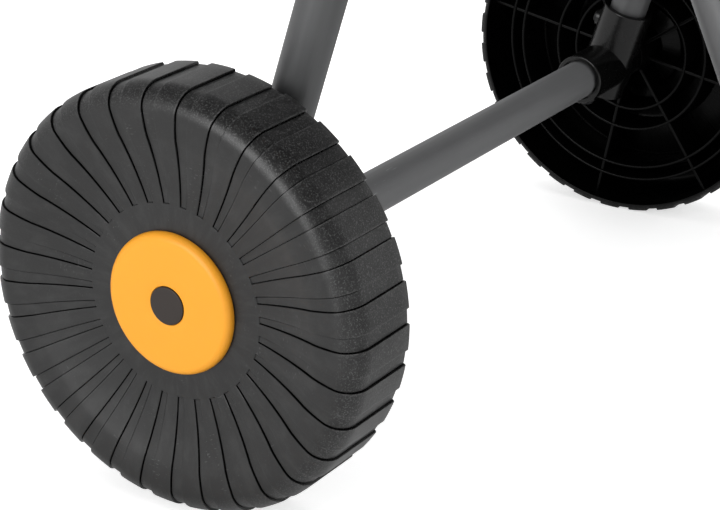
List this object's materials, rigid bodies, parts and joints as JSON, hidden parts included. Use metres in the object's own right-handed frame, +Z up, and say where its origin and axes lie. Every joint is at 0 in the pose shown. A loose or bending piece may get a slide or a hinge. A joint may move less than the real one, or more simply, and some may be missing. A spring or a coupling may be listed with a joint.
{
  "type": "garden hose reel cart",
  "caption": "Tube-frame cart with ribbed plastic wheels and front feet, carrying a crank-wound hose reel with a swivelling water inlet.",
  "frame": {"origin": "on the floor, under the middle of the whole cart's box; the frame's centre plane is 22.2 mm toward -X of it, because the crank knob reaches further out than the wheels", "axes": "+Z up, +X along the wheel axle toward the crank side, -Y toward the front feet"},
  "size_m": [0.5556, 0.4532, 0.9047],
  "materials": {
    "wheel_plastic": "moulded, semi-matt, finely specked",
    "orange_plastic": "smooth satin",
    "plug_plastic": "smooth satin",
    "bright_steel": "zinc plated",
    "screw_steel": "zinc plated",
    "tube_paint": "grey powder coat, satin",
    "fitting_plastic": "moulded, satin",
    "soft_rubber": "matt",
    "seal_rubber": "matt",
    "bearing_plastic": "natural, smooth",
    "reel_plastic": "moulded, semi-matt",
    "shaft_plastic": "moulded, satin",
    "spigot_plastic": "smooth satin",
    "crank_plastic": "moulded, satin"
  },
  "bodies": {
    "frame": {"axle_rod": "bright_steel", "axle_washers": "bright_steel", "push_nuts": "bright_steel", "axle_tube": "tube_paint", "front_tube": "tube_paint", "handle_tube": "tube_paint", "handle_grip": "soft_rubber", "wheel_bracket_left": "fitting_plastic", "wheel_bracket_right": "fitting_plastic", "wheel_leg_left": "tube_paint", "wheel_leg_right": "tube_paint", "front_leg_left": "tube_paint", "front_leg_right": "tube_paint", "foot_fitting_left": "fitting_plastic", "foot_fitting_right": "fitting_plastic", "foot_pad_left": "soft_rubber", "foot_pad_right": "soft_rubber", "side_bracket_left": "fitting_plastic", "side_bracket_right": "fitting_plastic", "bearing_bush_left": "bearing_plastic", "bearing_bush_right": "bearing_plastic", "thrust_washer_left": "bearing_plastic", "thrust_washer_right": "bearing_plastic", "wheel_bracket_screws_left": "screw_steel", "wheel_bracket_screws_right": "screw_steel", "foot_screws_left": "screw_steel", "foot_screws_right": "screw_steel", "side_bracket_screws_left": "screw_steel", "side_bracket_screws_right": "screw_steel"},
    "wheel_left": {"wheel_left": "wheel_plastic", "hub_cap_left": "orange_plastic", "cap_plug_left": "plug_plastic"},
    "wheel_right": {"wheel_right": "wheel_plastic", "hub_cap_right": "orange_plastic", "cap_plug_right": "plug_plastic"},
    "reel": {"reel_flange_left": "reel_plastic", "reel_flange_right": "reel_plastic", "drum": "reel_plastic", "tie_bolts": "bright_steel", "tie_nuts": "bright_steel", "crank_shaft": "shaft_plastic", "inlet_pipe": "shaft_plastic", "inlet_pipe_seal": "seal_rubber", "shaft_screws": "screw_steel", "outlet_elbow": "shaft_plastic", "outlet_spigot": "spigot_plastic", "outlet_seal": "seal_rubber", "crank_arm": "crank_plastic", "crank_screw": "bright_steel", "crank_pin": "bright_steel"},
    "knob": {"crank_knob": "crank_plastic", "knob_cap": "spigot_plastic"},
    "inlet": {"swivel_elbow": "shaft_plastic", "swivel_clip": "bright_steel", "inlet_spigot": "spigot_plastic", "inlet_spigot_seal": "seal_rubber"}
  },
  "joints": [
    {"name": "wheel_left_spin", "type": "hinge", "parent": "frame", "child": "wheel_left", "pos_m": [-0.24215, 0.12534, 0.1013], "axis": [1, 0, 0], "continuous": true},
    {"name": "wheel_right_spin", "type": "hinge", "parent": "frame", "child": "wheel_right", "pos_m": [0.19785, 0.12534, 0.1013], "axis": [1, 0, 0], "continuous": true},
    {"name": "reel_spin", "type": "hinge", "parent": "frame", "child": "reel", "pos_m": [-0.02215, 0.00233, 0.4833], "axis": [1, 0, 0], "continuous": true},
    {"name": "crank_knob_spin", "type": "hinge", "parent": "reel", "child": "knob", "pos_m": [0.236, 0.00233, 0.3733], "axis": [1, 0, 0], "continuous": true},
    {"name": "inlet_swivel", "type": "hinge", "parent": "frame", "child": "inlet", "pos_m": [-0.24465, 0.00233, 0.4833], "axis": [1, 0, 0], "continuous": true}
  ]
}
